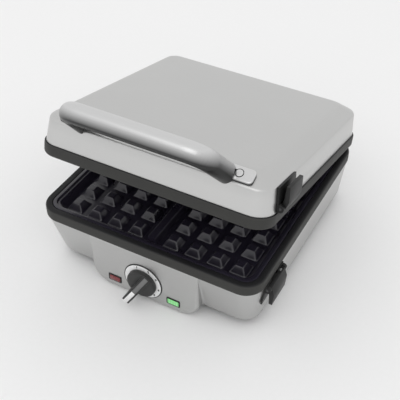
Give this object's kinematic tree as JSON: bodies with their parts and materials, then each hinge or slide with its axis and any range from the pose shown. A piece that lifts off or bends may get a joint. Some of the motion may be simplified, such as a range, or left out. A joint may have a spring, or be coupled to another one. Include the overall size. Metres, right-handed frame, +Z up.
{
  "type": "waffle maker",
  "caption": "Square electric waffle maker with hinged lid, studded non-stick plates, bowed lift handle, rotary browning dial and plate release levers.",
  "frame": {"origin": "middle of the body's outline, on the floor plane under the feet", "axes": "+X to the user's right, +Y to the hinge at the back, +Z up"},
  "size_m": [0.2922, 0.3347, 0.255],
  "materials": {
    "housing_steel": "fine brushed satin",
    "handle_silver": "satin, more polished than the housing",
    "insert_silver": "satin",
    "dial_silver": "pale satin with dark printed marks",
    "rim_phenolic": "matt dark grey moulding",
    "black_plastic": "fine textured black",
    "knob_plastic": "satin dark grey",
    "plate_nonstick": "cast aluminium under a dark non-stick coating, low sheen",
    "black_steel": "black paint",
    "rubber": "matt",
    "zinc_steel": "bright zinc",
    "spring_steel": "drawn wire",
    "pan_steel": "plain pressed reflector sheet",
    "element_sheath": "heat-tinted sheath",
    "ceramic": "unglazed",
    "red_lens": "translucent red",
    "green_lens": "translucent green, lit",
    "lamp_glass": "clear",
    "lead_insulation": "heat-proof sleeve"
  },
  "bodies": {
    "base": {"lower_housing": "housing_steel", "bottom_cover": "black_steel", "feet": "rubber", "foot_screws": "zinc_steel", "base_standoffs": "zinc_steel", "base_rim": "rim_phenolic", "lower_plate": "plate_nonstick", "lower_element": "element_sheath", "lower_pan": "pan_steel", "dial_ring": "dial_silver", "thermostat": "ceramic", "control_bracket": "zinc_steel", "bracket_spacers": "zinc_steel", "lamp_bezels": "black_plastic", "preheat_lens": "red_lens", "ready_lens": "green_lens", "indicator_lamps": "lamp_glass", "base_release_mount": "black_plastic", "base_release_pin": "zinc_steel", "base_release_spring": "spring_steel", "hinge_brackets": "black_steel", "hinge_pins": "zinc_steel", "hinge_bracket_screws": "zinc_steel", "cord_inlet": "black_plastic", "terminal_block": "ceramic", "base_leads": "lead_insulation"},
    "lid": {"upper_housing": "housing_steel", "lid_rim": "rim_phenolic", "upper_plate": "plate_nonstick", "upper_element": "element_sheath", "upper_pan": "pan_steel", "lid_standoffs": "zinc_steel", "thermal_fuse": "zinc_steel", "lid_leads": "lead_insulation", "handle": "handle_silver", "handle_caps": "handle_silver", "handle_screws": "zinc_steel", "handle_nuts": "zinc_steel", "hinge_arms": "black_steel", "hinge_arm_screws": "zinc_steel", "lid_release_mount": "black_plastic", "lid_release_pin": "zinc_steel", "lid_release_spring": "spring_steel"},
    "control_knob": {"knob": "knob_plastic", "knob_insert": "insert_silver", "thermostat_shaft": "zinc_steel"},
    "base_lever": {"base_release_lever": "black_plastic"},
    "lid_lever": {"lid_release_lever": "black_plastic"}
  },
  "joints": [
    {"name": "lid_hinge", "type": "hinge", "parent": "base", "child": "lid", "pos_m": [0, 0.1559, 0.0688], "axis": [-1, 0, 0], "range_deg": [-13.8, 86]},
    {"name": "knob_turn", "type": "hinge", "parent": "base", "child": "control_knob", "pos_m": [0, -0.15, 0.0301], "axis": [0, -1, 0], "range_deg": [-120, 90]},
    {"name": "base_lever_press", "type": "hinge", "parent": "base", "child": "base_lever", "pos_m": [0.1436, -0.099, 0.066], "axis": [0, 1, 0], "range_deg": [0, 9], "stiffness_Nm_per_rad": 0.4},
    {"name": "lid_lever_press", "type": "hinge", "parent": "lid", "child": "lid_lever", "pos_m": [0.1436, -0.08282, 0.16553], "axis": [0, -0.9711, 0.2385], "range_deg": [0, 9], "stiffness_Nm_per_rad": 0.4}
  ]
}
